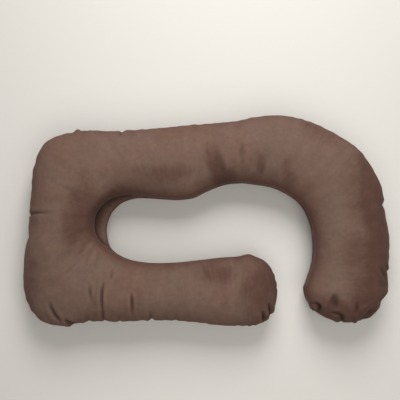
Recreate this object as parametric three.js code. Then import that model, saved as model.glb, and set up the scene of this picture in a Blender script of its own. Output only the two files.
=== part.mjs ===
import * as THREE from "three";

// A G-shaped body pillow in velour, lying flat on its back.
// Millimetres, +Z up, +X along the long arm, +Y towards the arched side.
// It is one filled cushion: a front and a back panel of the same G outline, sewn together along one seam
// that runs right round the edge, half way up the filling.

// Mesh fineness
const STRIPS_ACROSS = 18;
const STRIPS_ALONG = 140;
const STRIPS_IN_END = 12;
const OUT_EDGE_SHARE = 0.65; // the steps along the G are even at this share of the way to its outer edge

// The cushion's section
const SEAM_LEVEL = 0.48; // the seam's height as a share of the section's height
const CROWN_FULLNESS = 0.86; // under 1 makes the crown fuller than an ellipse
const BACK_FULLNESS = 0.92;
const FLOOR_SINK = 17; // how far the round back would reach below the floor
const FLOOR_EASE = 9; // rounds the edge of the flat patch that lies on the floor
const SEAM_DRAW_IN = 7; // depth of the groove that the seam pulls
const SEAM_GROOVE_REACH = 20; // height over which the groove fades
const TUCK_REACH = 17; // height over which the back panel bulges out again under a tucked seam

// The two free ends
// roundness is for the arm's inner and outer side: 1 is a quarter ellipse, 0 is square
const END_SHAPES = {
  lower: { long: 116, innerRoundness: 0.9, outerRoundness: 0.84 },
  right: { long: 138, innerRoundness: 0.95, outerRoundness: 1 },
};

// Sections from the lower arm's end, round the back of the G and over the arch to the right arm's end.
// in and out are the plan places of the section's two edges, high is its height, crest moves its highest line
// towards out, and tuck is how far the seam on the in side lies behind the back panel's bulge.
const SECTIONS = [
  { in: [155, -125], out: [155, -393], high: 186, crest: 0, tuck: 0 },
  { in: [65, -133], out: [65, -392], high: 190, crest: 0, tuck: 0 },
  { in: [-30, -143], out: [-30, -381], high: 190, crest: 0, tuck: 0 },
  { in: [-120, -152], out: [-120, -373], high: 190, crest: 0, tuck: 0 },
  { in: [-210, -153], out: [-230, -373], high: 194, crest: 0, tuck: 0 },
  { in: [-275, -144], out: [-325, -378], high: 199, crest: -0.01, tuck: 0 },
  { in: [-320, -128], out: [-425, -376], high: 203, crest: -0.04, tuck: 2 },
  { in: [-350, -106], out: [-530, -393], high: 206, crest: -0.07, tuck: 5 },
  { in: [-367, -82], out: [-622, -366], high: 208, crest: -0.1, tuck: 14 },
  { in: [-374, -55], out: [-677, -273], high: 208, crest: -0.08, tuck: 28 },
  { in: [-375, -28], out: [-684, -140], high: 207, crest: -0.03, tuck: 40 },
  { in: [-371, 0], out: [-671, -28], high: 206, crest: 0, tuck: 46 },
  { in: [-361, 26], out: [-667, 95], high: 206, crest: -0.03, tuck: 46 },
  { in: [-342, 51], out: [-659, 207], high: 207, crest: -0.07, tuck: 41 },
  { in: [-317, 72], out: [-613, 308], high: 207, crest: -0.1, tuck: 30 },
  { in: [-277, 86], out: [-489, 350], high: 206, crest: -0.07, tuck: 17 },
  { in: [-224, 88], out: [-373, 350], high: 204, crest: -0.03, tuck: 6 },
  { in: [-166, 84], out: [-250, 357], high: 202, crest: 0, tuck: 1 },
  { in: [-105, 81], out: [-143, 366], high: 201, crest: 0, tuck: 0 },
  { in: [-48, 88], out: [-59, 376], high: 201, crest: 0, tuck: 0 },
  { in: [6, 114], out: [17, 380], high: 201, crest: 0, tuck: 0 },
  { in: [70, 139], out: [109, 389], high: 202, crest: 0, tuck: 0 },
  { in: [132, 146], out: [201, 406], high: 204, crest: 0, tuck: 0 },
  { in: [194, 140], out: [305, 409], high: 206, crest: 0, tuck: 0 },
  { in: [255, 129], out: [409, 382], high: 207, crest: 0, tuck: 0 },
  { in: [308, 106], out: [505, 334], high: 207, crest: 0, tuck: 0 },
  { in: [352, 75], out: [585, 278], high: 207, crest: 0, tuck: 0 },
  { in: [381, 35], out: [634, 210], high: 206, crest: 0, tuck: 0 },
  { in: [399, -15], out: [671, 129], high: 205, crest: 0, tuck: 0 },
  { in: [407, -70], out: [680, 43], high: 204, crest: 0, tuck: 0 },
  { in: [406, -124], out: [694, -63], high: 203, crest: 0, tuck: 0 },
  { in: [397, -172], out: [690, -158], high: 201, crest: 0, tuck: 0 },
  { in: [368, -244], out: [683, -238], high: 198, crest: 0, tuck: 0 },
];

// Folds of the cloth. from and to are the plan places where a fold starts and runs out, wide is its half
// width, deep its depth, less than 0 for a ridge, and deepest how far along it that depth lies, 0 to 1.
const FOLDS = [
  // across the back of the G, at its middle
  { from: [-680, 22], to: [-549, 26], wide: 12, deep: 6, deepest: 0.15 },
  // the bunched lower left corner
  { from: [-522, -374], to: [-566, -294], wide: 12, deep: 11, deepest: 0.4 },
  { from: [-488, -380], to: [-514, -360], wide: 13, deep: 12, deepest: 0.25 },
  // creases that run up from the lower arm's outer edge beside the corner
  { from: [-372, -342], to: [-366, -216], wide: 12, deep: 6, deepest: 0.45 },
  { from: [-412, -302], to: [-416, -226], wide: 12, deep: 3, deepest: 0.5 },
  { from: [-269, -352], to: [-268, -256], wide: 12, deep: 6, deepest: 0.5 },
  // notches in the lower arm's outer edge
  { from: [-432, -378], to: [-434, -326], wide: 13, deep: 3, deepest: 0 },
  { from: [-374, -374], to: [-374, -324], wide: 13, deep: 5, deepest: 0 },
  { from: [-318, -382], to: [-318, -336], wide: 13, deep: 4, deepest: 0 },
  { from: [-200, -378], to: [-203, -326], wide: 13, deep: 7, deepest: 0 },
  { from: [-112, -382], to: [-108, -334], wide: 13, deep: 3, deepest: 0 },
  // dimples on the lower arm
  { from: [-17, -150], to: [15, -222], wide: 13, deep: 3, deepest: 0.4 },
  // the peak at the upper left corner and the notches in the long arm's outer edge
  { from: [-493, 366], to: [-486, 325], wide: 14, deep: -10, deepest: 0 },
  { from: [-455, 350], to: [-462, 300], wide: 13, deep: 3, deepest: 0 },
  { from: [-312, 362], to: [-323, 306], wide: 12, deep: 7, deepest: 0 },
  // soft folds over the arch
  { from: [31, 282], to: [80, 146], wide: 15, deep: 3, deepest: 0.5 },
  { from: [128, 310], to: [142, 160], wide: 15, deep: 3, deepest: 0.5 },
  // a dent and a crease in the right arm's outer edge
  { from: [686, 63], to: [635, 59], wide: 13, deep: 6, deepest: 0 },
  { from: [694, -196], to: [648, -172], wide: 13, deep: 6, deepest: 0 },
  // a fan of creases beside the hollow's closed end
  { from: [-400, -90], to: [-438, -178], wide: 13, deep: 3, deepest: 0.3 },
  { from: [-416, -66], to: [-472, -152], wide: 13, deep: 3, deepest: 0.3 },
  { from: [-424, -30], to: [-504, -72], wide: 13, deep: 3, deepest: 0.3 },
  // the lower arm's end: two slits, a small gather at the tip and a bulge above it
  { from: [213, -376], to: [208, -328], wide: 11, deep: 11, deepest: 0.3 },
  { from: [241, -357], to: [228, -300], wide: 11, deep: 11, deepest: 0.3 },
  { from: [274, -220], to: [240, -222], wide: 12, deep: 3, deepest: 0 },
  { from: [158, -116], to: [155, -170], wide: 26, deep: -6, deepest: 0 },
  // the right arm's end: a pit, a ridge and a three-sided hollow beside it, a second pit, a ridge with a
  // broad hollow, and the bulge and the flat beside it that shape the corner
  { from: [417, -338], to: [388, -300], wide: 12, deep: 12, deepest: 0.35 },
  { from: [429, -340], to: [460, -258], wide: 13, deep: -7, deepest: 0.4 },
  { from: [472, -324], to: [458, -262], wide: 17, deep: 9, deepest: 0.45 },
  { from: [508, -372], to: [470, -342], wide: 12, deep: 11, deepest: 0.35 },
  { from: [553, -382], to: [551, -328], wide: 13, deep: -5, deepest: 0.2 },
  { from: [574, -366], to: [620, -322], wide: 17, deep: 10, deepest: 0.5 },
  { from: [608, -386], to: [600, -330], wide: 22, deep: -12, deepest: 0 },
  { from: [672, -306], to: [628, -284], wide: 28, deep: 11, deepest: 0 },
];
const SHOULDER = 0.55; // the cloth pushed up beside a fold, as a share of its depth
const FOLD_BELL = 0.7; // how steeply a fold's sides fall away
const FOLD_FADE = 1.2; // above 1, a fold runs out sooner
const FOLD_WRAP = 0.7; // how far round the seam folds reach onto the back panel, as a share of its rise

// Uneven filling: broad lumps, and the outer seam's small puckers
const LUMPS = [
  { high: 2.6, alongX: 118, alongY: 87, phase: 0.6 },
  { high: 1.8, alongX: -71, alongY: 96, phase: 2.1 },
  { high: 1.4, alongX: 52, alongY: -64, phase: 4.0 },
];
const PUCKERS = { deep: 2.2, pitch: 78, drift: 0.31 };

const QUARTER = Math.PI / 2;

// Smooth curves through the sections' edges and through their other columns, all with the same parameter.
function curveOf(row) {
  return new THREE.CatmullRomCurve3(
    SECTIONS.map((s) => new THREE.Vector3(...row(s))),
    false,
    "catmullrom",
    0.5,
  );
}
const inEdge = curveOf((s) => [s.in[0], s.in[1], s.tuck]);
const outEdge = curveOf((s) => [s.out[0], s.out[1], s.high]);
const crestLine = curveOf((s) => [s.crest, 0, 0]);

// The section at a curve parameter: its edges, its half width as a vector, and its height.
function sectionAt(t) {
  const a = inEdge.getPoint(t);
  const b = outEdge.getPoint(t);
  const inside = new THREE.Vector2(a.x, a.y);
  const outside = new THREE.Vector2(b.x, b.y);
  return {
    middle: inside.clone().add(outside).multiplyScalar(0.5),
    half: outside.clone().sub(inside).multiplyScalar(0.5),
    crest: crestLine.getPoint(t).x,
    high: b.z,
    tuck: Math.max(a.z, 0),
  };
}

// Curve parameters a steady distance apart along the mean of the two edges.
function evenStations(count) {
  const fine = 600;
  const run = [0];
  for (let i = 1; i <= fine; i++) {
    const [t0, t1] = [(i - 1) / fine, i / fine];
    const outStep = outEdge.getPoint(t1).distanceTo(outEdge.getPoint(t0));
    const inStep = inEdge.getPoint(t1).distanceTo(inEdge.getPoint(t0));
    run.push(run[i - 1] + OUT_EDGE_SHARE * outStep + (1 - OUT_EDGE_SHARE) * inStep);
  }
  const stations = [];
  for (let k = 0, i = 0; k <= count; k++) {
    const want = (run[fine] * k) / count;
    while (i < fine - 1 && run[i + 1] < want) i++;
    const share = (want - run[i]) / (run[i + 1] - run[i]);
    stations.push({ t: (i + share) / fine, run: want });
  }
  return stations;
}

// A free end: the arm's last section, which way it points, and how far the round end reaches.
function freeEnd(t, sign, name) {
  const last = sectionAt(t);
  const forward = new THREE.Vector2(-last.half.y, last.half.x).normalize();
  return { ...last, ...END_SHAPES[name], forward: forward.multiplyScalar(sign * END_SHAPES[name].long) };
}
const ENDS = { lower: freeEnd(0, 1, "lower"), right: freeEnd(1, -1, "right") };

// Rows of the panel's grid: up the first end, along the arms, and down the other end.
function gridRows() {
  const rows = [];
  for (let k = 0; k < STRIPS_IN_END; k++)
    rows.push({ end: "lower", beta: QUARTER * (1 - k / STRIPS_IN_END), run: 0 });
  for (const s of evenStations(STRIPS_ALONG)) rows.push({ t: s.t, beta: 0, run: s.run });
  for (let k = 1; k <= STRIPS_IN_END; k++)
    rows.push({ end: "right", beta: (QUARTER * k) / STRIPS_IN_END, run: 0 });
  return rows;
}

// Small puckers along the outer seam, from two waves that drift apart.
function pucker(run) {
  const wave = (2 * Math.PI * run) / PUCKERS.pitch;
  return PUCKERS.deep * Math.sin(wave) * Math.sin(wave * PUCKERS.drift + 1);
}

// A point of the cushion. alpha runs across a panel from seam to seam, -90 to 90 degrees, and face is 1 for
// the front panel and -1 for the back one. The plan is the panel's outline shrunk towards its middle line,
// and the height rises with the cosine of alpha, and of beta in an end, so a section is a full ellipse
// pinched at the seam.
function cushionPoint(row, alpha, face) {
  const place = row.end ? ENDS[row.end] : sectionAt(row.t);
  const u = Math.sin(alpha);
  const v = Math.sin(row.beta);
  const roundness = row.end ? (u < 0 ? place.innerRoundness : place.outerRoundness) : 0;
  const across = u * Math.sqrt(1 - roundness * v * v * 0.5);
  const onward = row.end ? v * Math.sqrt(1 - roundness * u * u * 0.5) : 0;
  const rise = Math.cos(alpha) * Math.cos(row.beta);

  const seam = place.high * SEAM_LEVEL;
  const top = place.high - seam;
  const away = face > 0 ? top * rise ** CROWN_FULLNESS : (seam + FLOOR_SINK) * rise ** BACK_FULLNESS;

  const plan = place.middle.clone();
  plan.addScaledVector(place.half, across + 2 * place.crest * (1 - u * u));
  if (row.end) plan.addScaledVector(place.forward, onward);

  const outward = plan.clone().sub(place.middle);
  outward.normalize();
  const groove = SEAM_DRAW_IN * Math.exp(-((away / SEAM_GROOVE_REACH) ** 2));
  const inSide = Math.max(-u, 0);
  const tuckFade = face > 0 ? Math.sqrt(1 - rise * rise) : Math.exp(-((away / TUCK_REACH) ** 2));
  const tucked = row.end ? 0 : place.tuck * inSide * tuckFade;
  const puckered = row.end ? 0 : pucker(row.run) * Math.max(u, 0) ** 3;
  plan.addScaledVector(outward, -(groove + tucked + puckered));

  let z = seam + face * away;
  z = z > 0 ? (z * z) / (z + FLOOR_EASE) : 0;
  return new THREE.Vector3(plan.x, plan.y, z);
}

// How far a fold pushes the cloth in at a plan place: a trough with raised shoulders, or a ridge with
// hollows beside it, that fades along its length both ways from its deepest place, and past its start over
// two half widths.
function foldDepth(fold, x, y) {
  const [ax, ay] = fold.from;
  const [bx, by] = fold.to;
  const long = Math.hypot(bx - ax, by - ay);
  const along = ((x - ax) * (bx - ax) + (y - ay) * (by - ay)) / (long * long) - fold.deepest;
  const aside = ((x - ax) * (by - ay) - (y - ay) * (bx - ax)) / long / fold.wide;
  const reach = along > 0 ? 1 - fold.deepest : Math.max(fold.deepest, (2 * fold.wide) / long);
  if (Math.abs(along) > reach) return 0;
  const fade = Math.cos((QUARTER * Math.abs(along)) / reach) ** FOLD_FADE;
  const trough = (1 - SHOULDER * aside * aside) * Math.exp(-aside * aside * FOLD_BELL);
  return fold.deep * fade * trough;
}

// Broad lumps of the filling.
function lump(x, y) {
  return LUMPS.reduce((sum, l) => sum + l.high * Math.sin(x / l.alongX + y / l.alongY + l.phase), 0);
}

// The cushion's mesh: two grids that share the vertices of the seam.
function cushionGeometry() {
  const rows = gridRows();
  const wide = STRIPS_ACROSS + 1;
  const points = [];
  const rises = [];
  const index = { front: [], back: [] };
  for (const [name, face] of [
    ["front", 1],
    ["back", -1],
  ]) {
    rows.forEach((row, j) => {
      for (let i = 0; i < wide; i++) {
        const onSeam = i === 0 || i === wide - 1 || j === 0 || j === rows.length - 1;
        if (face < 0 && onSeam) {
          index.back.push(index.front[j * wide + i]);
          continue;
        }
        const alpha = QUARTER * ((2 * i) / STRIPS_ACROSS - 1);
        index[name].push(points.length);
        points.push(cushionPoint(row, alpha, face));
        rises.push({ face, rise: onSeam ? 0 : Math.cos(alpha) * Math.cos(row.beta) });
      }
    });
  }

  const faces = [];
  for (let j = 0; j + 1 < rows.length; j++)
    for (let i = 0; i + 1 < wide; i++) {
      const corners = [j * wide + i, j * wide + i + 1, (j + 1) * wide + i + 1, (j + 1) * wide + i];
      // each quarter of the grid is split the way that keeps its corner's diagonal off the seam
      if ((2 * j < rows.length - 1) !== (2 * i < STRIPS_ACROSS)) corners.push(corners.shift());
      const [a, b, c, d] = corners.map((k) => index.front[k]);
      const [e, f, g, h] = corners.map((k) => index.back[k]);
      faces.push(a, c, b, a, d, c, e, f, g, e, g, h);
    }

  const geometry = new THREE.BufferGeometry().setFromPoints(points);
  geometry.setIndex(faces);
  geometry.computeVertexNormals();
  foldCloth(geometry, rises);
  const box = geometry.computeBoundingBox() ?? geometry.boundingBox;
  geometry.translate(-(box.min.x + box.max.x) / 2, -(box.min.y + box.max.y) / 2, -box.min.z);
  return geometry;
}

// Moves each vertex along its normal for the folds and lumps. Folds wrap a little way round the seam onto
// the back panel, and what lies on the floor stays flat.
function foldCloth(geometry, rises) {
  const position = geometry.getAttribute("position");
  const normal = geometry.getAttribute("normal");
  const at = new THREE.Vector3();
  const out = new THREE.Vector3();
  for (let k = 0; k < position.count; k++) {
    at.fromBufferAttribute(position, k);
    out.fromBufferAttribute(normal, k);
    if (at.z <= 0) continue;
    const { face, rise } = rises[k];
    const share = face > 0 ? 1 : Math.max(0, 1 - rise / FOLD_WRAP);
    const folds = FOLDS.reduce((sum, fold) => sum + foldDepth(fold, at.x, at.y), 0);
    at.addScaledVector(out, lump(at.x, at.y) * rise * (face > 0 ? 1 : 0) - folds * share);
    position.setXYZ(k, at.x, at.y, Math.max(at.z, 0));
  }
}

const velour = new THREE.MeshStandardMaterial({ color: 0x6e5349, roughness: 0.95, metalness: 0 });
const pillow = new THREE.Mesh(cushionGeometry(), velour);
pillow.name = "pillow";

const part = new THREE.Group();
part.add(pillow);
export default part;
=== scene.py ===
import math

import bpy
import numpy as np
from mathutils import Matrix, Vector


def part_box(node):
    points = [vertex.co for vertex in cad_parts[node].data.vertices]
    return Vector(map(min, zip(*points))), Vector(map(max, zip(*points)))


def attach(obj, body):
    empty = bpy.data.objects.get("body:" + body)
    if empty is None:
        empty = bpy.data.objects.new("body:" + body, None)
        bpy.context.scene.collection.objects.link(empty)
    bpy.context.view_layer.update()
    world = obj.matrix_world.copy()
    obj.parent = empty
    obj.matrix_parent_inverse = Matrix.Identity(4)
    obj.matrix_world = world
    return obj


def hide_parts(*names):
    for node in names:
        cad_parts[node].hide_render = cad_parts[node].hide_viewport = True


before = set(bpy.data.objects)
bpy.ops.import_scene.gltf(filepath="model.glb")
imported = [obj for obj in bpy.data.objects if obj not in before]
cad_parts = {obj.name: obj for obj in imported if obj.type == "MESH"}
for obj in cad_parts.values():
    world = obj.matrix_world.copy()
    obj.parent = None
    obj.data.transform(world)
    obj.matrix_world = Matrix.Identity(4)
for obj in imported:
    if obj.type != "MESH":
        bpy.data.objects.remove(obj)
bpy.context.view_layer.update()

# The outline of the G
# The cover is two panels of velour cut to the same G, sewn together along one seam that runs right round
# the edge. The values here repeat the CAD's, in millimetres, so that the cushion lies where its solid does.

MM = 0.001
NEVER_ZERO = 1e-12
CURVE_STEPS = 4000
OUT_EDGE_SHARE = 0.65
CROWD = {"at": 0.17, "reach": 0.07, "more": 1.2}
CROWN_FULLNESS = 0.86
BACK_FULLNESS = 0.92
SEAM_LEVEL = 0.48
FLOOR_SINK = 17 * MM
FLOOR_EASE = 9 * MM
SEAM_DRAW_IN = 7 * MM
SEAM_GROOVE_REACH = 20 * MM
TUCK_REACH = 17 * MM
LOWER_END = {"long": 116 * MM, "inner_roundness": 0.9, "outer_roundness": 0.84}
RIGHT_END = {"long": 138 * MM, "inner_roundness": 0.95, "outer_roundness": 1}

# Each row is a section: its inner edge's x and y, its outer edge's x and y, its height, how far its crest
# lies towards the outer edge as a share of its width, and how far its inner seam is tucked in, which leaves
# the back panel showing beyond it.
SECTIONS = np.array([
    (155, -125, 155, -393, 186, 0, 0),
    (65, -133, 65, -392, 190, 0, 0),
    (-30, -143, -30, -381, 190, 0, 0),
    (-120, -152, -120, -373, 190, 0, 0),
    (-210, -153, -230, -373, 194, 0, 0),
    (-275, -144, -325, -378, 199, -0.01, 0),
    (-320, -128, -425, -376, 203, -0.04, 2),
    (-350, -106, -530, -393, 206, -0.07, 5),
    (-367, -82, -622, -366, 208, -0.1, 14),
    (-374, -55, -677, -273, 208, -0.08, 28),
    (-375, -28, -684, -140, 207, -0.03, 40),
    (-371, 0, -671, -28, 206, 0, 46),
    (-361, 26, -667, 95, 206, -0.03, 46),
    (-342, 51, -659, 207, 207, -0.07, 41),
    (-317, 72, -613, 308, 207, -0.1, 30),
    (-277, 86, -489, 350, 206, -0.07, 17),
    (-224, 88, -373, 350, 204, -0.03, 6),
    (-166, 84, -250, 357, 202, 0, 1),
    (-105, 81, -143, 366, 201, 0, 0),
    (-48, 88, -59, 376, 201, 0, 0),
    (6, 114, 17, 380, 201, 0, 0),
    (70, 139, 109, 389, 202, 0, 0),
    (132, 146, 201, 406, 204, 0, 0),
    (194, 140, 305, 409, 206, 0, 0),
    (255, 129, 409, 382, 207, 0, 0),
    (308, 106, 505, 334, 207, 0, 0),
    (352, 75, 585, 278, 207, 0, 0),
    (381, 35, 634, 210, 206, 0, 0),
    (399, -15, 671, 129, 205, 0, 0),
    (407, -70, 680, 43, 204, 0, 0),
    (406, -124, 694, -63, 203, 0, 0),
    (397, -172, 690, -158, 201, 0, 0),
    (368, -244, 683, -238, 198, 0, 0),
]) * (MM, MM, MM, MM, MM, 1, MM)


def unit(vectors):
    """Each vector over its length."""
    return vectors / np.maximum(np.linalg.norm(vectors, axis=-1, keepdims=True), NEVER_ZERO)


def smooth_curve(rows, at):
    """Reads a table between its rows: the four rows round each place are weighted as a Catmull-Rom spline
    does, where the slope at a row is half the step from the row before it to the row after it."""
    first = 2 * rows[:1] - rows[1:2]
    last = 2 * rows[-1:] - rows[-2:-1]
    padded = np.concatenate([first, rows, last])
    k = np.clip(np.floor(at).astype(int), 0, len(rows) - 2)
    f = (at - k).reshape((-1,) + (1,) * (rows.ndim - 1))
    before, a, b, after = padded[k], padded[k + 1], padded[k + 2], padded[k + 3]
    slope_a = (b - before) / 2
    slope_b = (after - a) / 2
    return (
        (2 * f**3 - 3 * f**2 + 1) * a
        + (f**3 - 2 * f**2 + f) * slope_a
        + (3 * f**2 - 2 * f**3) * b
        + (f**3 - f**2) * slope_b
    )


def grid_rows(along, in_end):
    """The rows of a panel's grid, from the lower arm's end round the G to the right arm's end. The arms'
    rows are set out by their distance along the G, of which OUT_EDGE_SHARE is measured on the outer edge
    and the rest on the inner one. They lie closer together round the lower left corner, where the folds
    are finest: their number in each step is one plus a bell of the CROWD. An end's rows turn through equal
    steps of beta, which is 90 degrees at the tip. Gives each row's section, beta, which end it is in (-1
    the lower, 1 the right, 0 an arm), and its distance along the G."""
    fine = np.linspace(0, len(SECTIONS) - 1, CURVE_STEPS)
    edges = np.diff(smooth_curve(SECTIONS, fine), axis=0)
    inner_step, outer_step = np.hypot(edges[:, 0], edges[:, 1]), np.hypot(edges[:, 2], edges[:, 3])
    step = OUT_EDGE_SHARE * outer_step + (1 - OUT_EDGE_SHARE) * inner_step
    run = np.concatenate([[0], np.cumsum(step)])
    even = np.linspace(0, 1, along + 1)
    rows_so_far = np.cumsum(1 + CROWD["more"] * np.exp(-(((even - CROWD["at"]) / CROWD["reach"]) ** 2)))
    rows_so_far -= rows_so_far[0]
    wanted = run[-1] * np.interp(even, rows_so_far / rows_so_far[-1], even)
    places = np.interp(wanted, run, fine)
    turn = np.linspace(0, math.pi / 2, in_end + 1)[1:]
    at = np.concatenate([np.zeros(in_end), places, np.full(in_end, len(SECTIONS) - 1.0)])
    beta = np.concatenate([turn[::-1], np.zeros(along + 1), turn])
    end = np.concatenate([-np.ones(in_end), np.zeros(along + 1), np.ones(in_end)])
    distance = np.concatenate([
        -LOWER_END["long"] * np.sin(turn[::-1]), wanted, run[-1] + RIGHT_END["long"] * np.sin(turn),
    ])
    return {"section": smooth_curve(SECTIONS, at), "beta": beta, "end": end, "run": distance}


def panel(rows, alpha, face):
    """The points of the front (face 1) or back (face -1) panel, and how far each has risen from the seam,
    0 to 1. alpha crosses the panel from -90 degrees at the inner seam to 90 at the outer one. The plan
    place is the section's middle plus its half width times sin alpha, moved on by the end's length times
    sin beta. Each sine is shortened by the root of 1 less the roundness times half the other's square,
    which rounds an end's corners off, and a parabola of sin alpha moves the crest. The rise is cos alpha
    times cos beta, and the height leaves the seam's level by the rise to the power of the fullness. The
    seam is drawn in by a bell of the height from it, the inner one also by the section's tuck, and a
    height near the floor is eased flat by z * z / (z + ease)."""
    u = np.sin(alpha)[None, :]
    v = np.sin(rows["beta"])[:, None]
    in_end = (rows["end"] != 0)[:, None]
    is_lower = rows["end"][:, None] < 0
    inner_round = np.where(is_lower, LOWER_END["inner_roundness"], RIGHT_END["inner_roundness"])
    outer_round = np.where(is_lower, LOWER_END["outer_roundness"], RIGHT_END["outer_roundness"])
    roundness = np.where(u < 0, inner_round, outer_round) * in_end
    across = u * np.sqrt(1 - roundness * v * v / 2)
    onward = v * np.sqrt(1 - roundness * u * u / 2) * in_end
    rise = np.cos(alpha)[None, :] * np.cos(rows["beta"])[:, None]

    section = rows["section"]
    inner, outer = section[:, 0:2], section[:, 2:4]
    middle = (inner + outer) / 2
    half = (outer - inner) / 2
    high, crest, tuck = section[:, 4:5], section[:, 5:6], np.maximum(section[:, 6:7], 0)
    forward = unit(np.stack([-half[:, 1], half[:, 0]], axis=1))
    forward *= np.where(rows["end"] < 0, LOWER_END["long"], -RIGHT_END["long"])[:, None]

    seam = high * SEAM_LEVEL
    top = (high - seam) * rise**CROWN_FULLNESS
    bottom = (seam + FLOOR_SINK) * rise**BACK_FULLNESS
    away = top if face > 0 else bottom
    plan = middle[:, None] + half[:, None] * (across + 2 * crest * (1 - u * u))[..., None]
    plan = plan + forward[:, None] * onward[..., None]
    outward = unit(plan - middle[:, None])
    fade = np.sqrt(1 - rise**2) if face > 0 else np.exp(-((away / TUCK_REACH) ** 2))
    tucked = np.where(in_end, 0, tuck * np.maximum(-u, 0) * fade)
    groove = SEAM_DRAW_IN * np.exp(-((away / SEAM_GROOVE_REACH) ** 2))
    plan = plan - outward * (groove + tucked)[..., None]
    z = np.maximum(seam + face * away, 0)
    z = z * z / (z + FLOOR_EASE)
    return np.concatenate([plan, z[..., None]], axis=2), rise


# The cushion
# A G-shaped body pillow, its velour cover filled tight with fibre. The cover is cut flat and longer at the
# edge than the filled pillow is, so the cloth puckers along the outer seam and is gathered round the two
# free ends.

SIM_GRID = {"across": 36, "along": 300, "in_end": 16}
FINE_GRID = {"across": 76, "along": 560, "in_end": 44}
SIM_FRAMES = 14
TOUCHING = 1e-6
EDGE_SURPLUS = 5 * MM
MOST_SLACK = 0.02
END_SLACK = 0.06
SLACK_REACH = 7
UNEVEN_WAVES = 24
UNEVEN_LENGTH = 55 * MM
UNEVEN_HEIGHT = 0.3 * MM
TIGHT_LEVELS = 60
SWELLING_REACH = 45 * MM
LENGTH_OF_G = 3400 * MM
PANEL_GIRTH = 400 * MM
ARM_RADIUS = 130 * MM
MOST_MOVE = 20 * MM
FULL_SLACK = 0.004
LEAST_KEPT = 0.25


def closed_grid(front, back):
    """Puts a front and a back grid of values into one list of vertices, where the back panel's border is
    the front panel's: the seam is one row of shared vertices. Gives the list and both panels' vertex
    numbers."""
    border = np.ones(front.shape[:2], bool)
    border[1:-1, 1:-1] = False
    numbers = np.arange(border.size).reshape(border.shape)
    back_numbers = numbers.copy()
    back_numbers[~border] = border.size + np.arange((~border).sum())
    values = np.concatenate([front.reshape((border.size,) + front.shape[2:]), back[~border]])
    return values, numbers, back_numbers


def on_both(values, shape):
    """One value for each vertex, alike on both panels, from a grid of them, or from a row or a column
    that is repeated to the grid's shape."""
    grid = np.broadcast_to(values, shape + values.shape[2:])
    return closed_grid(grid, grid)[0]


def as_ring(front, back):
    """Joins both panels' grids into one that goes from the inner seam over the front panel to the outer
    seam, and on over the back panel, so its last column is beside its first one."""
    return np.concatenate([front, back[:, -2:0:-1]], axis=1)


def from_ring(ring):
    """The front and the back grid that a ring was joined from."""
    columns = ring.shape[1] // 2 + 1
    back = np.concatenate([ring[:, :1], ring[:, :columns - 2:-1]], axis=1)
    return ring[:, :columns], back


def grid_faces(numbers, turned):
    """The four-sided faces between neighbouring rows and columns of vertex numbers."""
    corners = [numbers[:-1, :-1], numbers[:-1, 1:], numbers[1:, 1:], numbers[1:, :-1]]
    return np.stack(corners[::-1] if turned else corners, axis=-1).reshape(-1, 4)


def waves(points, length, seed):
    """Uneven filling: the sum of UNEVEN_WAVES sine waves of one length in random directions, over the
    root of half their number, which gives it a spread of about 1."""
    rng = np.random.default_rng(seed)
    directions = unit(rng.normal(size=(UNEVEN_WAVES, 3)))
    phases = rng.uniform(0, 2 * math.pi, UNEVEN_WAVES)
    swings = np.sin(points @ directions.T * (2 * math.pi / length) + phases)
    return swings.sum(axis=1) / math.sqrt(UNEVEN_WAVES / 2)


def outer_slack(rows):
    """How much longer the flat-cut cloth is than the outer seam that it is sewn to. A flat panel's edge
    lies EDGE_SURPLUS further out than the filled one, so the slack is that distance times the edge's
    curvature. It is kept under MOST_SLACK, as velour stretches, it is END_SLACK round the free ends,
    which were gathered, and it is smoothed over SLACK_REACH rows to either side."""
    edge = rows["section"][:, 2:4]
    arm = rows["end"] == 0
    first = np.gradient(edge[arm], axis=0)
    second = np.gradient(first, axis=0)
    bend = (first[:, 1] * second[:, 0] - first[:, 0] * second[:, 1]) / np.hypot(first[:, 0], first[:, 1]) ** 3
    slack = np.full(len(edge), END_SLACK)
    slack[arm] = np.clip(EDGE_SURPLUS * bend, 0, MOST_SLACK)
    bell = np.hanning(2 * SLACK_REACH + 1)
    bell /= bell.sum()
    return np.convolve(np.pad(slack, SLACK_REACH, mode="edge"), bell, "valid")


def blurred(ring, cells_along, cells_round):
    """A ring's means over a bell, first along the G and then round its section, where the ring closes on
    itself. A bell's width is counted in the grid's cells, and it reaches out to three times that."""
    for axis, cells in ((0, cells_along), (1, cells_round)):
        reach = int(3 * cells)
        bell = np.exp(-0.5 * (np.arange(-reach, reach + 1) / cells) ** 2)
        bell /= bell.sum()
        around = [(0, 0), (0, 0), (0, 0)]
        around[axis] = (reach, reach)
        wide = np.pad(ring, around, mode="wrap" if axis == 1 else "edge")
        count = ring.shape[axis]
        ring = sum(w * np.take(wide, np.arange(k, k + count), axis) for k, w in enumerate(bell))
    return ring


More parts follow.
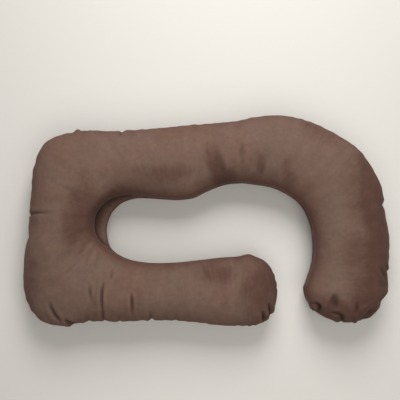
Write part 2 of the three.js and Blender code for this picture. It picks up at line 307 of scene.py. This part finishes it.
def blown_up(start, faces, on_floor, slack):
    """Where a cloth's points lie after SIM_FRAMES of simulation, in which a pressure blows it up. It is
    pinned where it lies on the floor, and longer than its place by the slack. The slack is handed over as
    a group in TIGHT_LEVELS steps, from 1 where the cloth is tight to 0 where it has the most slack."""
    mesh = bpy.data.meshes.new("cloth")
    mesh.from_pydata(start.tolist(), [], faces.tolist())
    cloth_object = bpy.data.objects.new("cloth", mesh)
    bpy.context.scene.collection.objects.link(cloth_object)
    pinned = cloth_object.vertex_groups.new(name="floor")
    pinned.add(np.nonzero(on_floor)[0].tolist(), 1.0, "REPLACE")
    tight = cloth_object.vertex_groups.new(name="tight")
    levels = np.round((1 - slack / slack.max()) * TIGHT_LEVELS).astype(int)
    for level in np.unique(levels):
        tight.add(np.nonzero(levels == level)[0].tolist(), level / TIGHT_LEVELS, "REPLACE")

    cloth = cloth_object.modifiers.new("cloth", "CLOTH")
    settings = cloth.settings
    settings.quality = 5
    settings.mass = 0.001
    settings.tension_stiffness = 15
    settings.compression_stiffness = 15
    settings.shear_stiffness = 5
    settings.bending_stiffness = 5
    settings.tension_damping = 0.1
    settings.compression_damping = 0.1
    settings.shear_damping = 0.1
    settings.bending_damping = 0.05
    settings.use_pressure = True
    settings.uniform_pressure_force = 3
    settings.effector_weights.gravity = 0
    settings.vertex_group_mass = "floor"
    settings.vertex_group_shrink = "tight"
    settings.shrink_min = -float(slack.max())
    settings.shrink_max = 0
    cloth.collision_settings.use_collision = False
    cloth.point_cache.frame_start = 1
    cloth.point_cache.frame_end = SIM_FRAMES
    for number in range(1, SIM_FRAMES + 1):
        bpy.context.scene.frame_set(number)
    filled = cloth_object.evaluated_get(bpy.context.evaluated_depsgraph_get())
    places = np.empty(start.size, np.float32)
    filled.data.vertices.foreach_get("co", places)
    bpy.data.objects.remove(cloth_object)
    bpy.data.meshes.remove(mesh)
    bpy.context.scene.frame_set(1)
    return places.reshape(-1, 3).astype(float)


def filled_cover(rows, alpha):
    """Fills the cover and gives how far each point of the front and back grids moves. The cloth is longer
    than its place by the outer slack times the cube of its distance from the crest, which is 1 at the
    seam, and along the arms also times the sine of alpha, outside the crest alone. The broad swelling,
    which is the movement's mean over a bell of SWELLING_REACH, is taken out again, so the puckers stay
    and the outline too. No point moves by more than MOST_MOVE, and where the slack is under FULL_SLACK
    the movement is kept in proportion, down to LEAST_KEPT."""
    front, rise = panel(rows, alpha, 1)
    back, _ = panel(rows, alpha, -1)
    points, front_numbers, back_numbers = closed_grid(front, back)
    on_floor = points[:, 2] < TOUCHING
    uneven = np.stack([waves(points, UNEVEN_LENGTH, seed) for seed in (0, 1, 2)], axis=1) * UNEVEN_HEIGHT
    start = points + uneven * ~on_floor[:, None]
    start[:, 2] = np.maximum(start[:, 2], 0)

    edge = np.sqrt(1 - rise**2)
    outer_side = np.where((rows["end"] != 0)[:, None], 1, np.maximum(np.sin(alpha)[None, :], 0))
    slack = on_both(outer_slack(rows)[:, None] * outer_side * edge**3, rise.shape)
    faces = np.concatenate([grid_faces(front_numbers, True), grid_faces(back_numbers, False)])
    moved = blown_up(start, faces, on_floor, slack) - points

    ring = as_ring(moved[front_numbers], moved[back_numbers])
    cell_along = LENGTH_OF_G / SIM_GRID["along"]
    cell_round = PANEL_GIRTH / SIM_GRID["across"]
    ring = ring - blurred(ring, SWELLING_REACH / cell_along, SWELLING_REACH / cell_round)
    size = np.linalg.norm(ring, axis=2, keepdims=True) + NEVER_ZERO
    ring = ring / size * MOST_MOVE * np.tanh(size / MOST_MOVE)
    ring *= np.clip(outer_slack(rows) / FULL_SLACK, LEAST_KEPT, 1)[:, None, None]
    return from_ring(ring)


def finer(grid, rows_at, columns_at):
    """Reads a grid between its rows and then between its columns, both along smooth curves."""
    tall = smooth_curve(grid, rows_at)
    return np.swapaxes(smooth_curve(np.swapaxes(tall, 0, 1), columns_at), 0, 1)


rows = grid_rows(FINE_GRID["along"], FINE_GRID["in_end"])
alpha = np.linspace(-math.pi / 2, math.pi / 2, FINE_GRID["across"] + 1)
front, rise = panel(rows, alpha, 1)
back, _ = panel(rows, alpha, -1)
plain_points = closed_grid(front, back)[0]
low, high = [Vector(corner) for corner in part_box("pillow")]
to_frame = np.array((low + high) / 2) - (plain_points.min(axis=0) + plain_points.max(axis=0)) / 2
to_frame[2] = 0

sim_rows = grid_rows(SIM_GRID["along"], SIM_GRID["in_end"])
sim_alpha = np.linspace(-math.pi / 2, math.pi / 2, SIM_GRID["across"] + 1)
front_move, back_move = filled_cover(sim_rows, sim_alpha)
end_places = np.linspace(0, SIM_GRID["in_end"], FINE_GRID["in_end"] + 1)
arm_places = SIM_GRID["in_end"] + np.linspace(0, SIM_GRID["along"], FINE_GRID["along"] + 1)
far_end = SIM_GRID["in_end"] + SIM_GRID["along"] + end_places
rows_at = np.concatenate([end_places[:-1], arm_places, far_end[1:]])
columns_at = np.linspace(0, SIM_GRID["across"], FINE_GRID["across"] + 1)
front = front + finer(front_move, rows_at, columns_at)
back = back + finer(back_move, rows_at, columns_at)


# Each row is a fold or gather: its start's x and y, its end's x and y, how far its middle bows to the right
# on the way there, its half width and depth, all in millimetres, how sharp its bottom is, from 0 for a soft
# trough to 1 for a slit, and where along it the fold is deepest, from 0 at the start to 1 at the end. A
# depth below 0 is a ridge.
FOLDS = np.array([
    # across the back of the G, at its middle
    (-680, 22, -549, 26, -3, 5.5, 7, 0.7, 0.15),
    # the bunched lower left corner: a curved crease, a small roll and a pit
    (-522, -374, -566, -294, -9, 7, 13, 0.7, 0.4),
    (-505, -384, -530, -352, -5, 8, -4, 0, 0.4),
    (-488, -380, -514, -360, -4, 8, 19, 0.6, 0.25),
    # creases that run up from the lower arm's outer edge beside the corner
    (-372, -342, -364, -216, -7, 5, 10, 0.9, 0.45),
    (-378, -368, -372, -320, 0, 6, 5, 0.7, 0.5),
    (-409, -302, -416, -226, -3, 6, 5, 0.6, 0.5),
    (-343, -222, -336, -172, 0, 6, 4, 0.6, 0.5),
    (-269, -352, -268, -256, 2, 5, 10, 0.9, 0.5),
    # notches in the lower arm's outer edge
    (-432, -378, -434, -326, 0, 10, 2.5, 0.4, 0),
    (-374, -374, -374, -324, 0, 9, 5, 0.4, 0),
    (-318, -382, -318, -336, 0, 8, 4, 0.4, 0),
    (-200, -378, -203, -326, 0, 8, 8, 0.4, 0),
    (-112, -382, -108, -334, 0, 8, 3, 0.3, 0),
    (-28, -390, -33, -350, 0, 9, 3, 0.3, 0),
    # dimples on the lower arm
    (-17, -150, 15, -222, 0, 10, 3, 0.2, 0.4),
    # the peak at the upper left corner and the notches in the long arm's outer edge
    (-493, 366, -486, 325, 0, 11, -12, 0, 0),
    (-455, 350, -462, 300, 0, 9, 3, 0.4, 0),
    (-312, 362, -323, 306, 4, 7, 8, 0.7, 0),
    # soft folds over the arch
    (31, 282, 80, 146, 0, 14, 3, 0, 0.5),
    (128, 310, 142, 160, 0, 13, 2.5, 0, 0.5),
    # a dent and slanting creases in the right arm's outer edge
    (686, 63, 635, 59, 0, 10, 6, 0.4, 0),
    (694, -196, 666, -190, 0, 8, 5, 0.4, 0),
    (664, -220, 628, -162, 3, 6, 6, 0.6, 0.4),
    (682, -196, 650, -152, 3, 6, 5, 0.6, 0.3),
    # a fan of creases beside the hollow's closed end
    (-385, -108, -402, -180, 0, 9, 2.5, 0.3, 0.3),
    (-400, -90, -438, -178, 4, 9, 3, 0.3, 0.3),
    (-416, -66, -472, -152, 4, 10, 3, 0.2, 0.3),
    (-424, -30, -504, -72, 4, 11, 2.5, 0.2, 0.3),
    (-424, 10, -510, 14, 0, 11, 2, 0.2, 0.3),
    # the lower arm's end: two slits with a flap between them, small gathers at the tip and a bulge above it
    (213, -376, 208, -328, 2, 5.5, 18, 0.8, 0.3),
    (241, -357, 228, -300, 3, 5.5, 17, 0.8, 0.3),
    (268, -184, 240, -192, 0, 7, 2, 0.3, 0),
    (274, -215, 240, -219, 0, 7, 2.5, 0.3, 0),
    (275, -248, 246, -245, 0, 7, 2, 0.3, 0),
    (158, -116, 155, -170, 0, 26, -6, 0, 0),
    # the right arm's end: a hooked pit with the cloth lapped round it, a ridge and a three-sided hollow
    # beside it, a second pit under a roll, and a forked ridge with a broad hollow
    (417, -338, 386, -300, 12, 6.5, 18, 0.7, 0.35),
    (396, -322, 410, -332, 0, 7, -4, 0, 0.5),
    (429, -340, 460, -258, -7, 8, -7, 0, 0.4),
    (472, -324, 458, -262, 0, 17, 10, 0.2, 0.45),
    (506, -356, 450, -336, 5, 6, 12, 0.7, 0.25),
    (508, -374, 488, -348, 0, 8, 17, 0.6, 0.4),
    (553, -382, 551, -328, 0, 8, -5, 0, 0.2),
    (551, -332, 594, -306, -4, 8, -5, 0, 0.3),
    (549, -340, 544, -294, 0, 5, 6, 0.7, 0.5),
    (574, -366, 620, -322, 0, 17, 11, 0.2, 0.5),
    (608, -386, 600, -330, 0, 22, -12, 0, 0),
    (672, -306, 628, -284, 0, 28, 11, 0, 0),
    (390, -168, 374, -250, 0, 6, 3, 0.7, 0.5),
]) * (MM, MM, MM, MM, MM, MM, MM, 1, 1)
SHOULDER = 0.55
BELL = 0.7
SHARPEST = 0.8
FADE = 1.2
FOLD_REACH = 4
BACK_WRAP = 0.5
PUCKER_PITCH = 37 * MM
PUCKER_DEPTH = 2.2 * MM
PUCKER_REACH = 26 * MM
MEAN_PUCKER = 0.6

# Slow waves that make the puckers uneven in depth and in timing. Each has its size, its length along the G
# and how far through its turn it starts.
PUCKER_DRIFT = ((0.4, 190 * MM, 2),)
TIMING_DRIFT = ((1.6, 260 * MM, 0), (1.1, 610 * MM, 1))


def fold_depth(folds, points):
    """How far the folds push the cloth in at each point's plan place. A fold follows a parabola that
    leaves its chord by the bow. Along it the depth fades from its deepest place to either end as the
    cosine of a quarter turn to the power FADE, and towards the start over two half widths at least, which
    may lie past it. Across it the trough is a bell of steepness BELL times one less SHOULDER times the
    square, which raises the cloth beside it, and it ends at FOLD_REACH half widths. A sharp fold's bell
    has a power of up to SHARPEST less than 2, so its bottom is a crease."""
    depth = np.zeros(len(points))
    for x0, y0, x1, y1, bow, wide, deep, sharp, deepest in folds:
        length = math.hypot(x1 - x0, y1 - y0)
        toward = np.array([x1 - x0, y1 - y0]) / length
        offset = points[:, :2] - (x0, y0)
        part = offset @ toward / length
        middle = bow * 4 * part * (1 - part)
        aside = np.abs(offset @ (toward[1], -toward[0]) - middle) / wide
        along = part - deepest
        reach = np.where(along > 0, 1 - deepest, max(deepest, 2 * wide / length))
        fade = np.cos(np.clip(np.abs(along) / reach, 0, 1) * math.pi / 2) ** FADE
        trough = (1 - SHOULDER * aside**2) * np.exp(-BELL * aside ** (2 - SHARPEST * sharp))
        depth += np.where(aside < FOLD_REACH, deep * fade * trough, 0)
    return depth


# Each row is a darker patch. Most lie where the pile has been brushed the other way, and some, on the inner
# side of the G's back by the hollow's closed end and over the right arm's outer half, are painted shade on
# sides turned from the light. Its columns are its middle's x and y, its half length and half width, all in
# millimetres, how far its length is turned from the x axis in degrees, and how much darker it looks.
BRUSHED_AND_SHADED = np.array([
    # this row: painted shade on the inner side of the G's back, by the hollow's closed end, with turned pile
    (-455, 5, 150, 80, 82, 0.8),
    (-350, 100, 90, 50, 35, 0.6),
    (48, 180, 95, 38, 112, 0.8),
    (78, 150, 60, 55, 90, 0.7),
    (205, 200, 70, 26, 95, 0.65),
    (302, 190, 70, 30, 90, 0.55),
    (450, 330, 130, 75, 145, 0.6),
    # the next four rows: painted shade over the right arm's outer half, which is turned from the light
    (590, 70, 240, 115, 100, 0.65),
    (635, 50, 240, 88, 98, 1.0),
    (580, -140, 170, 110, 90, 0.68),
    (645, -130, 200, 92, 88, 1.0),
    (600, -315, 120, 95, 60, 0.95),
    (480, -330, 110, 60, 170, 0.75),
    (600, -230, 90, 60, 0, 0.8),
    (205, -265, 140, 85, 95, 0.8),
    (40, -200, 120, 45, 0, 0.6),
    (-640, -240, 170, 50, 85, 0.6),
    (-655, 170, 160, 35, 85, 0.5),
    (-160, 165, 170, 55, 3, 0.6),
])


def brushed_and_shaded_at(patches, points):
    """How dark the patches make each point's plan place, 0 to 1, from pile brushed the other way and from
    painted
    shade on sides turned from the light: the most that any patch gives, which is its darkness times a bell of
    the distance from its middle, counted in its half length and half width."""
    most = np.zeros(len(points))
    for x, y, long, wide, turned, darker in patches:
        direction = np.array([math.cos(math.radians(turned)), math.sin(math.radians(turned))])
        offset = points[:, :2] / MM - (x, y)
        away = (offset @ direction / long) ** 2 + (offset @ (direction[1], -direction[0]) / wide) ** 2
        most = np.maximum(most, darker * np.exp(-BELL * away))
    return most


def drift(run, slow_waves):
    """The sum of slow sine waves along the G."""
    return sum(size * np.sin(2 * math.pi * run / length + start) for size, length, start in slow_waves)


def seam_puckers(run, from_seam, outer_side):
    """How far the stitching draws the cloth in, or lets it out where below 0: a sine wave along the G of
    PUCKER_PITCH, PUCKER_DEPTH deep, whose depth and timing drift. It fades as a bell of the height from
    the seam, and as the square of outer_side, which is 1 at the outer seam and 0 from the crest inwards."""
    deep = PUCKER_DEPTH * (MEAN_PUCKER + drift(run, PUCKER_DRIFT))
    swing = np.sin(2 * math.pi * run / PUCKER_PITCH + drift(run, TIMING_DRIFT))
    fade = np.exp(-((from_seam / PUCKER_REACH) ** 2)) * outer_side**2
    return deep * swing * fade


def grid_normals(grid):
    """The direction square to the grid at each point: the cross product of its steps along the G and
    across it."""
    return unit(np.cross(np.gradient(grid, axis=0), np.gradient(grid, axis=1)))


points, front_numbers, back_numbers = closed_grid(front, back)
section = rows["section"]
rises = on_both(rise, rise.shape)
across = on_both(alpha[None, :], rise.shape)
along_run = on_both(rows["run"][:, None], rise.shape)
middles = on_both((section[:, None, 0:2] + section[:, None, 2:4]) / 2, rise.shape)
seam_height = on_both(section[:, 4:5] * SEAM_LEVEL, rise.shape)
from_seam = np.where(rises < TOUCHING, 0, np.abs(points[:, 2] - seam_height))
is_back = closed_grid(np.zeros_like(rise), np.ones_like(rise))[0] > 0

# The folds go on past the seam to the back panel, where they fade out as it rises to BACK_WRAP.
outward = unit(np.pad(points[:, :2] - middles, ((0, 0), (0, 1))))
normals = closed_grid(grid_normals(front), -grid_normals(back))[0]
normals = np.where(rises[:, None] < TOUCHING, outward, normals)
wrap = np.where(is_back, np.clip(1 - rises / BACK_WRAP, 0, 1), 1)
pressed = fold_depth(FOLDS, points) * wrap
pressed += seam_puckers(along_run, from_seam, np.maximum(np.sin(across), 0))
points = points - normals * (pressed * (points[:, 2] > TOUCHING))[:, None]
points[:, 2] = np.maximum(points[:, 2], 0)

# What the velour's material reads, most of it to paint shade: how hollow the cloth is at a point, from below
# 0 on a ridge to 1 in a crease, for painted shade in the creases and a painted highlight on the ridges, how
# far the point is above or below the seam, for a line of painted shade along it, how square it faces up or
# down, for painted shade on the steep sides, and how dark the patches make it, where its pile is brushed the
# other way and where painted shade lies on sides turned from the light. In a crease a point lies CREASE_SAG
# inside the mean of the cloth round it. The flat coordinates run along the G and across it.
SAG_CELLS = 2.5
CREASE_SAG = 3 * MM
LEAST_HOLLOW = -0.3

ring = as_ring(points[front_numbers], points[back_numbers])
sag = closed_grid(*from_ring(blurred(ring, SAG_CELLS, SAG_CELLS) - ring))[0]
readings = {
    "hollow": np.clip(np.sum(sag * normals, axis=1) / CREASE_SAG, LEAST_HOLLOW, 1),
    "seam": from_seam,
    "facing": np.abs(normals[:, 2]),
    "brushed_and_shaded": brushed_and_shaded_at(BRUSHED_AND_SHADED, points),
}
across_run = np.where(is_back, -1, 1) * across * ARM_RADIUS
points = points + to_frame

mesh = bpy.data.meshes.new("g_cushion")
faces = np.concatenate([grid_faces(front_numbers, True), grid_faces(back_numbers, False)])
mesh.from_pydata(points.tolist(), [], faces.tolist())
mesh.polygons.foreach_set("use_smooth", np.ones(len(mesh.polygons), bool))
for name, values in readings.items():
    attribute = mesh.attributes.new(name, "FLOAT", "POINT")
    attribute.data.foreach_set("value", values.astype(np.float32))
corners = np.empty(len(mesh.loops), np.int32)
mesh.loops.foreach_get("vertex_index", corners)
places = np.stack([along_run[corners], across_run[corners]], axis=1)
mesh.uv_layers.new(name="cloth").data.foreach_set("uv", places.astype(np.float32).ravel())
mesh.update()
cushion = bpy.data.objects.new("g_cushion", mesh)
bpy.context.scene.collection.objects.link(cushion)
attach(cushion, "root")
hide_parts("pillow")

# The velour
# Short-pile brown velour. The pile lies different ways where hands have brushed it, which shows as broad
# # patches of warmer and greyer brown and as soft strokes across the arms. Shade is also painted into its
# colour:
# # down in the creases, along the seam, on the steep sides and in some dark patches on sides turned from the
# light,
# # and the ridges get a painted highlight.


def add(tree, kind, **inputs):
    """Adds a shader node. An input given as a socket is linked, any other value is set on the node's
    input of that name, or on the node itself where it has no such input. Spaces in a name are written as
    _."""
    node = tree.nodes.new("ShaderNode" + kind)
    for name, value in inputs.items():
        label = name.replace("_", " ")
        if label in node.inputs and isinstance(value, bpy.types.NodeSocket):
            tree.links.new(value, node.inputs[label])
        elif label in node.inputs:
            node.inputs[label].default_value = value
        else:
            setattr(node, name, value)
    return node


def noise(tree, at, scale, detail, roughness, distortion=0):
    """A smooth random pattern about 0.5, its grains one over the scale in size."""
    settings = {"Detail": detail, "Roughness": roughness, "Distortion": distortion}
    return add(tree, "TexNoise", Vector=at, Scale=scale, **settings).outputs["Fac"]


def connect(tree, sockets, values):
    """Links each value that is a socket to its input, and sets the input to any other value."""
    for socket, value in zip(sockets, values):
        if isinstance(value, bpy.types.NodeSocket):
            tree.links.new(value, socket)
        else:
            socket.default_value = value


def calculate(tree, operation, *values):
    """Adds a Math node over sockets and numbers and gives its result."""
    node = add(tree, "Math", operation=operation)
    connect(tree, node.inputs, values)
    return node.outputs[0]


def between(tree, value, low, high):
    """Stretches a value so that low gives 0 and high gives 1, smoothly and no further."""
    node = add(tree, "MapRange", interpolation_type="SMOOTHSTEP", Value=value, From_Min=low, From_Max=high)
    return node.outputs["Result"]


def mixed(tree, factor, first, second):
    """Blends from the first colour to the second, each of them a colour or a socket. Of the sockets that
    a Mix node has for each kind of value, inputs 6 and 7 and output 2 are the colours."""
    node = add(tree, "Mix", data_type="RGBA", Factor=factor)
    connect(tree, node.inputs[6:8], (first, second))
    return node.outputs[2]


def stretched(tree, at, along, across):
    """Coordinates in which a pattern has this many grains in a metre along the G and across it."""
    return add(tree, "Mapping", Vector=at, Scale=(along, across, 1)).outputs["Vector"]


GREY_BROWN = (0.121, 0.073, 0.054, 1)
RED_BROWN = (0.110, 0.053, 0.037, 1)
# painted shade: the darker, redder brown of the steep sides
SIDE_SHADE_BROWN = (0.088, 0.041, 0.029, 1)

velour = bpy.data.materials.new("velour")
velour.use_nodes = True
tree = velour.node_tree
shader = tree.nodes["Principled BSDF"]
place = add(tree, "TexCoord").outputs["Object"]
cloth_place = add(tree, "UVMap", uv_map="cloth").outputs["UV"]
read = {name: add(tree, "Attribute", attribute_name=name).outputs["Fac"] for name in readings}

# patterns: broad patches, strokes and finer streaks across the arms, blots, a mottle of tufts, the hairs
patches = noise(tree, place, scale=5.5, detail=3, roughness=0.55, distortion=0.7)
strokes = noise(tree, stretched(tree, cloth_place, 26, 5), scale=1, detail=3, roughness=0.6, distortion=0.4)
streaks = noise(tree, stretched(tree, cloth_place, 130, 14), scale=1, detail=3, roughness=0.6, distortion=0.3)
blots = noise(tree, place, scale=24, detail=3, roughness=0.6, distortion=0.5)
mottle = noise(tree, place, scale=60, detail=4, roughness=0.62)
pile = noise(tree, place, scale=420, detail=2, roughness=0.5)

# where the pile lies the other way, and where patches of painted shade lie on sides turned from the light:
# the
# # table's patches, their border made ragged by three of the patterns
ragged = calculate(tree, "MULTIPLY_ADD", patches, 0.8, -0.75)
for pattern, share in ((streaks, 0.3), (blots, 0.4), (read["brushed_and_shaded"], 1.0)):
    ragged = calculate(tree, "MULTIPLY_ADD", pattern, share, ragged)
nap_turned_and_shaded = between(tree, ragged, 0.25, 0.85)

# redder in random patches and in the darker patches, both of turned pile and of painted shade
warm = calculate(tree, "MULTIPLY", between(tree, patches, 0.4, 0.75), 0.5)
warm = calculate(tree, "MAXIMUM", warm, nap_turned_and_shaded)
brown = mixed(tree, warm, GREY_BROWN, RED_BROWN)
# painted shade: the steep sides, which face neither up nor down, turn to a darker, redder brown
brown = mixed(tree, between(tree, read["facing"], 0.25, 0.98), SIDE_SHADE_BROWN, brown)

# how much lighter each pattern makes the brown where it is 1, and how light it leaves it where it is 0
shade = 1.0
for pattern, more, least in (
    (strokes, 0.28, 0.86),
    (patches, 0.2, 0.9),
    (blots, 0.24, 0.88),
    (mottle, 0.42, 0.79),
    (pile, 0.3, 0.85),
    # the darker patches: partly turned pile, partly painted shade on sides turned from the light
    (nap_turned_and_shaded, -0.36, 1.0),
    # painted shade down in the creases, and a painted highlight on the ridges
    (read["hollow"], -0.42, 1.0),
    # a thin line of painted shade along the seam's crease
    (between(tree, read["seam"], 3 * MM, 0.4 * MM), -0.45, 1.0),
):
    shade = calculate(tree, "MULTIPLY", shade, calculate(tree, "MULTIPLY_ADD", pattern, more, least))
colour = add(tree, "VectorMath", operation="SCALE", Scale=shade)
tree.links.new(brown, colour.inputs[0])
tree.links.new(colour.outputs[0], shader.inputs["Base Color"])
tree.links.new(calculate(tree, "MULTIPLY_ADD", warm, 0.08, 0.84), shader.inputs["Roughness"])
for name, value in {
    "Sheen Weight": 0.15,
    "Sheen Roughness": 0.4,
    "Sheen Tint": (0.65, 0.45, 0.38, 1),
    "Specular IOR Level": 0.25,
}.items():
    shader.inputs[name].default_value = value

nap = add(tree, "Bump", Height=strokes, Strength=0.4, Distance=1.5 * MM)
tufts = add(tree, "Bump", Height=mottle, Strength=0.4, Distance=0.8 * MM, Normal=nap.outputs["Normal"])
hairs = add(tree, "Bump", Height=pile, Strength=0.6, Distance=0.5 * MM, Normal=tufts.outputs["Normal"])
tree.links.new(hairs.outputs["Normal"], shader.inputs["Normal"])
mesh.materials.append(velour)

# The studio
# A pale floor, a large soft light beyond the top of the picture, a weaker one over its lower edge, and a
# camera over the pillow, square to its face but for the few degrees that the pillow leans back in the
# photograph.

FLOOR_HALF = 9
CAMERA_TILT = math.radians(6)
CAMERA_AWAY = 2.12
LOOKED_AT = Vector((-0.021, 0.082, 0.1))

floor_mesh = bpy.data.meshes.new("floor")
floor_corners = [(FLOOR_HALF * x, FLOOR_HALF * y, 0) for x, y in ((-1, -1), (1, -1), (1, 1), (-1, 1))]
floor_mesh.from_pydata(floor_corners, [], [(0, 1, 2, 3)])
floor = bpy.data.objects.new("floor", floor_mesh)
bpy.context.scene.collection.objects.link(floor)
floor_paint = bpy.data.materials.new("floor_paint")
floor_paint.use_nodes = True
paint_shader = floor_paint.node_tree.nodes["Principled BSDF"]
paint_shader.inputs["Base Color"].default_value = (0.6, 0.58, 0.54, 1)
paint_shader.inputs["Roughness"].default_value = 0.9
floor_mesh.materials.append(floor_paint)


def area_light(name, place, aim, size, power):
    """A square soft light at a place, turned to shine at its aim."""
    data = bpy.data.lights.new(name, "AREA")
    data.size = size
    data.energy = power
    lamp = bpy.data.objects.new(name, data)
    bpy.context.scene.collection.objects.link(lamp)
    lamp.location = place
    lamp.rotation_euler = (Vector(aim) - Vector(place)).to_track_quat("-Z", "Y").to_euler()


area_light("key", place=(0.2, 2.0, 2.15), aim=(0.1, 0, 0.1), size=1.6, power=84)
area_light("fill", place=(0.3, -0.9, 2.0), aim=(0, 0, 0.1), size=2.0, power=26)

world = bpy.data.worlds.new("studio")
world.use_nodes = True
background = world.node_tree.nodes["Background"]
background.inputs["Color"].default_value = (1, 0.95, 0.9, 1)
background.inputs["Strength"].default_value = 0.25
bpy.context.scene.world = world
bpy.context.scene.view_settings.view_transform = "Standard"

lens = bpy.data.cameras.new("camera")
lens.lens = 50
camera = bpy.data.objects.new("camera", lens)
bpy.context.scene.collection.objects.link(camera)
toward_camera = Vector((0, -math.sin(CAMERA_TILT), math.cos(CAMERA_TILT)))
camera.location = LOOKED_AT + Vector(to_frame) + CAMERA_AWAY * toward_camera
camera.rotation_euler = (CAMERA_TILT, 0, 0)
bpy.context.scene.camera = camera
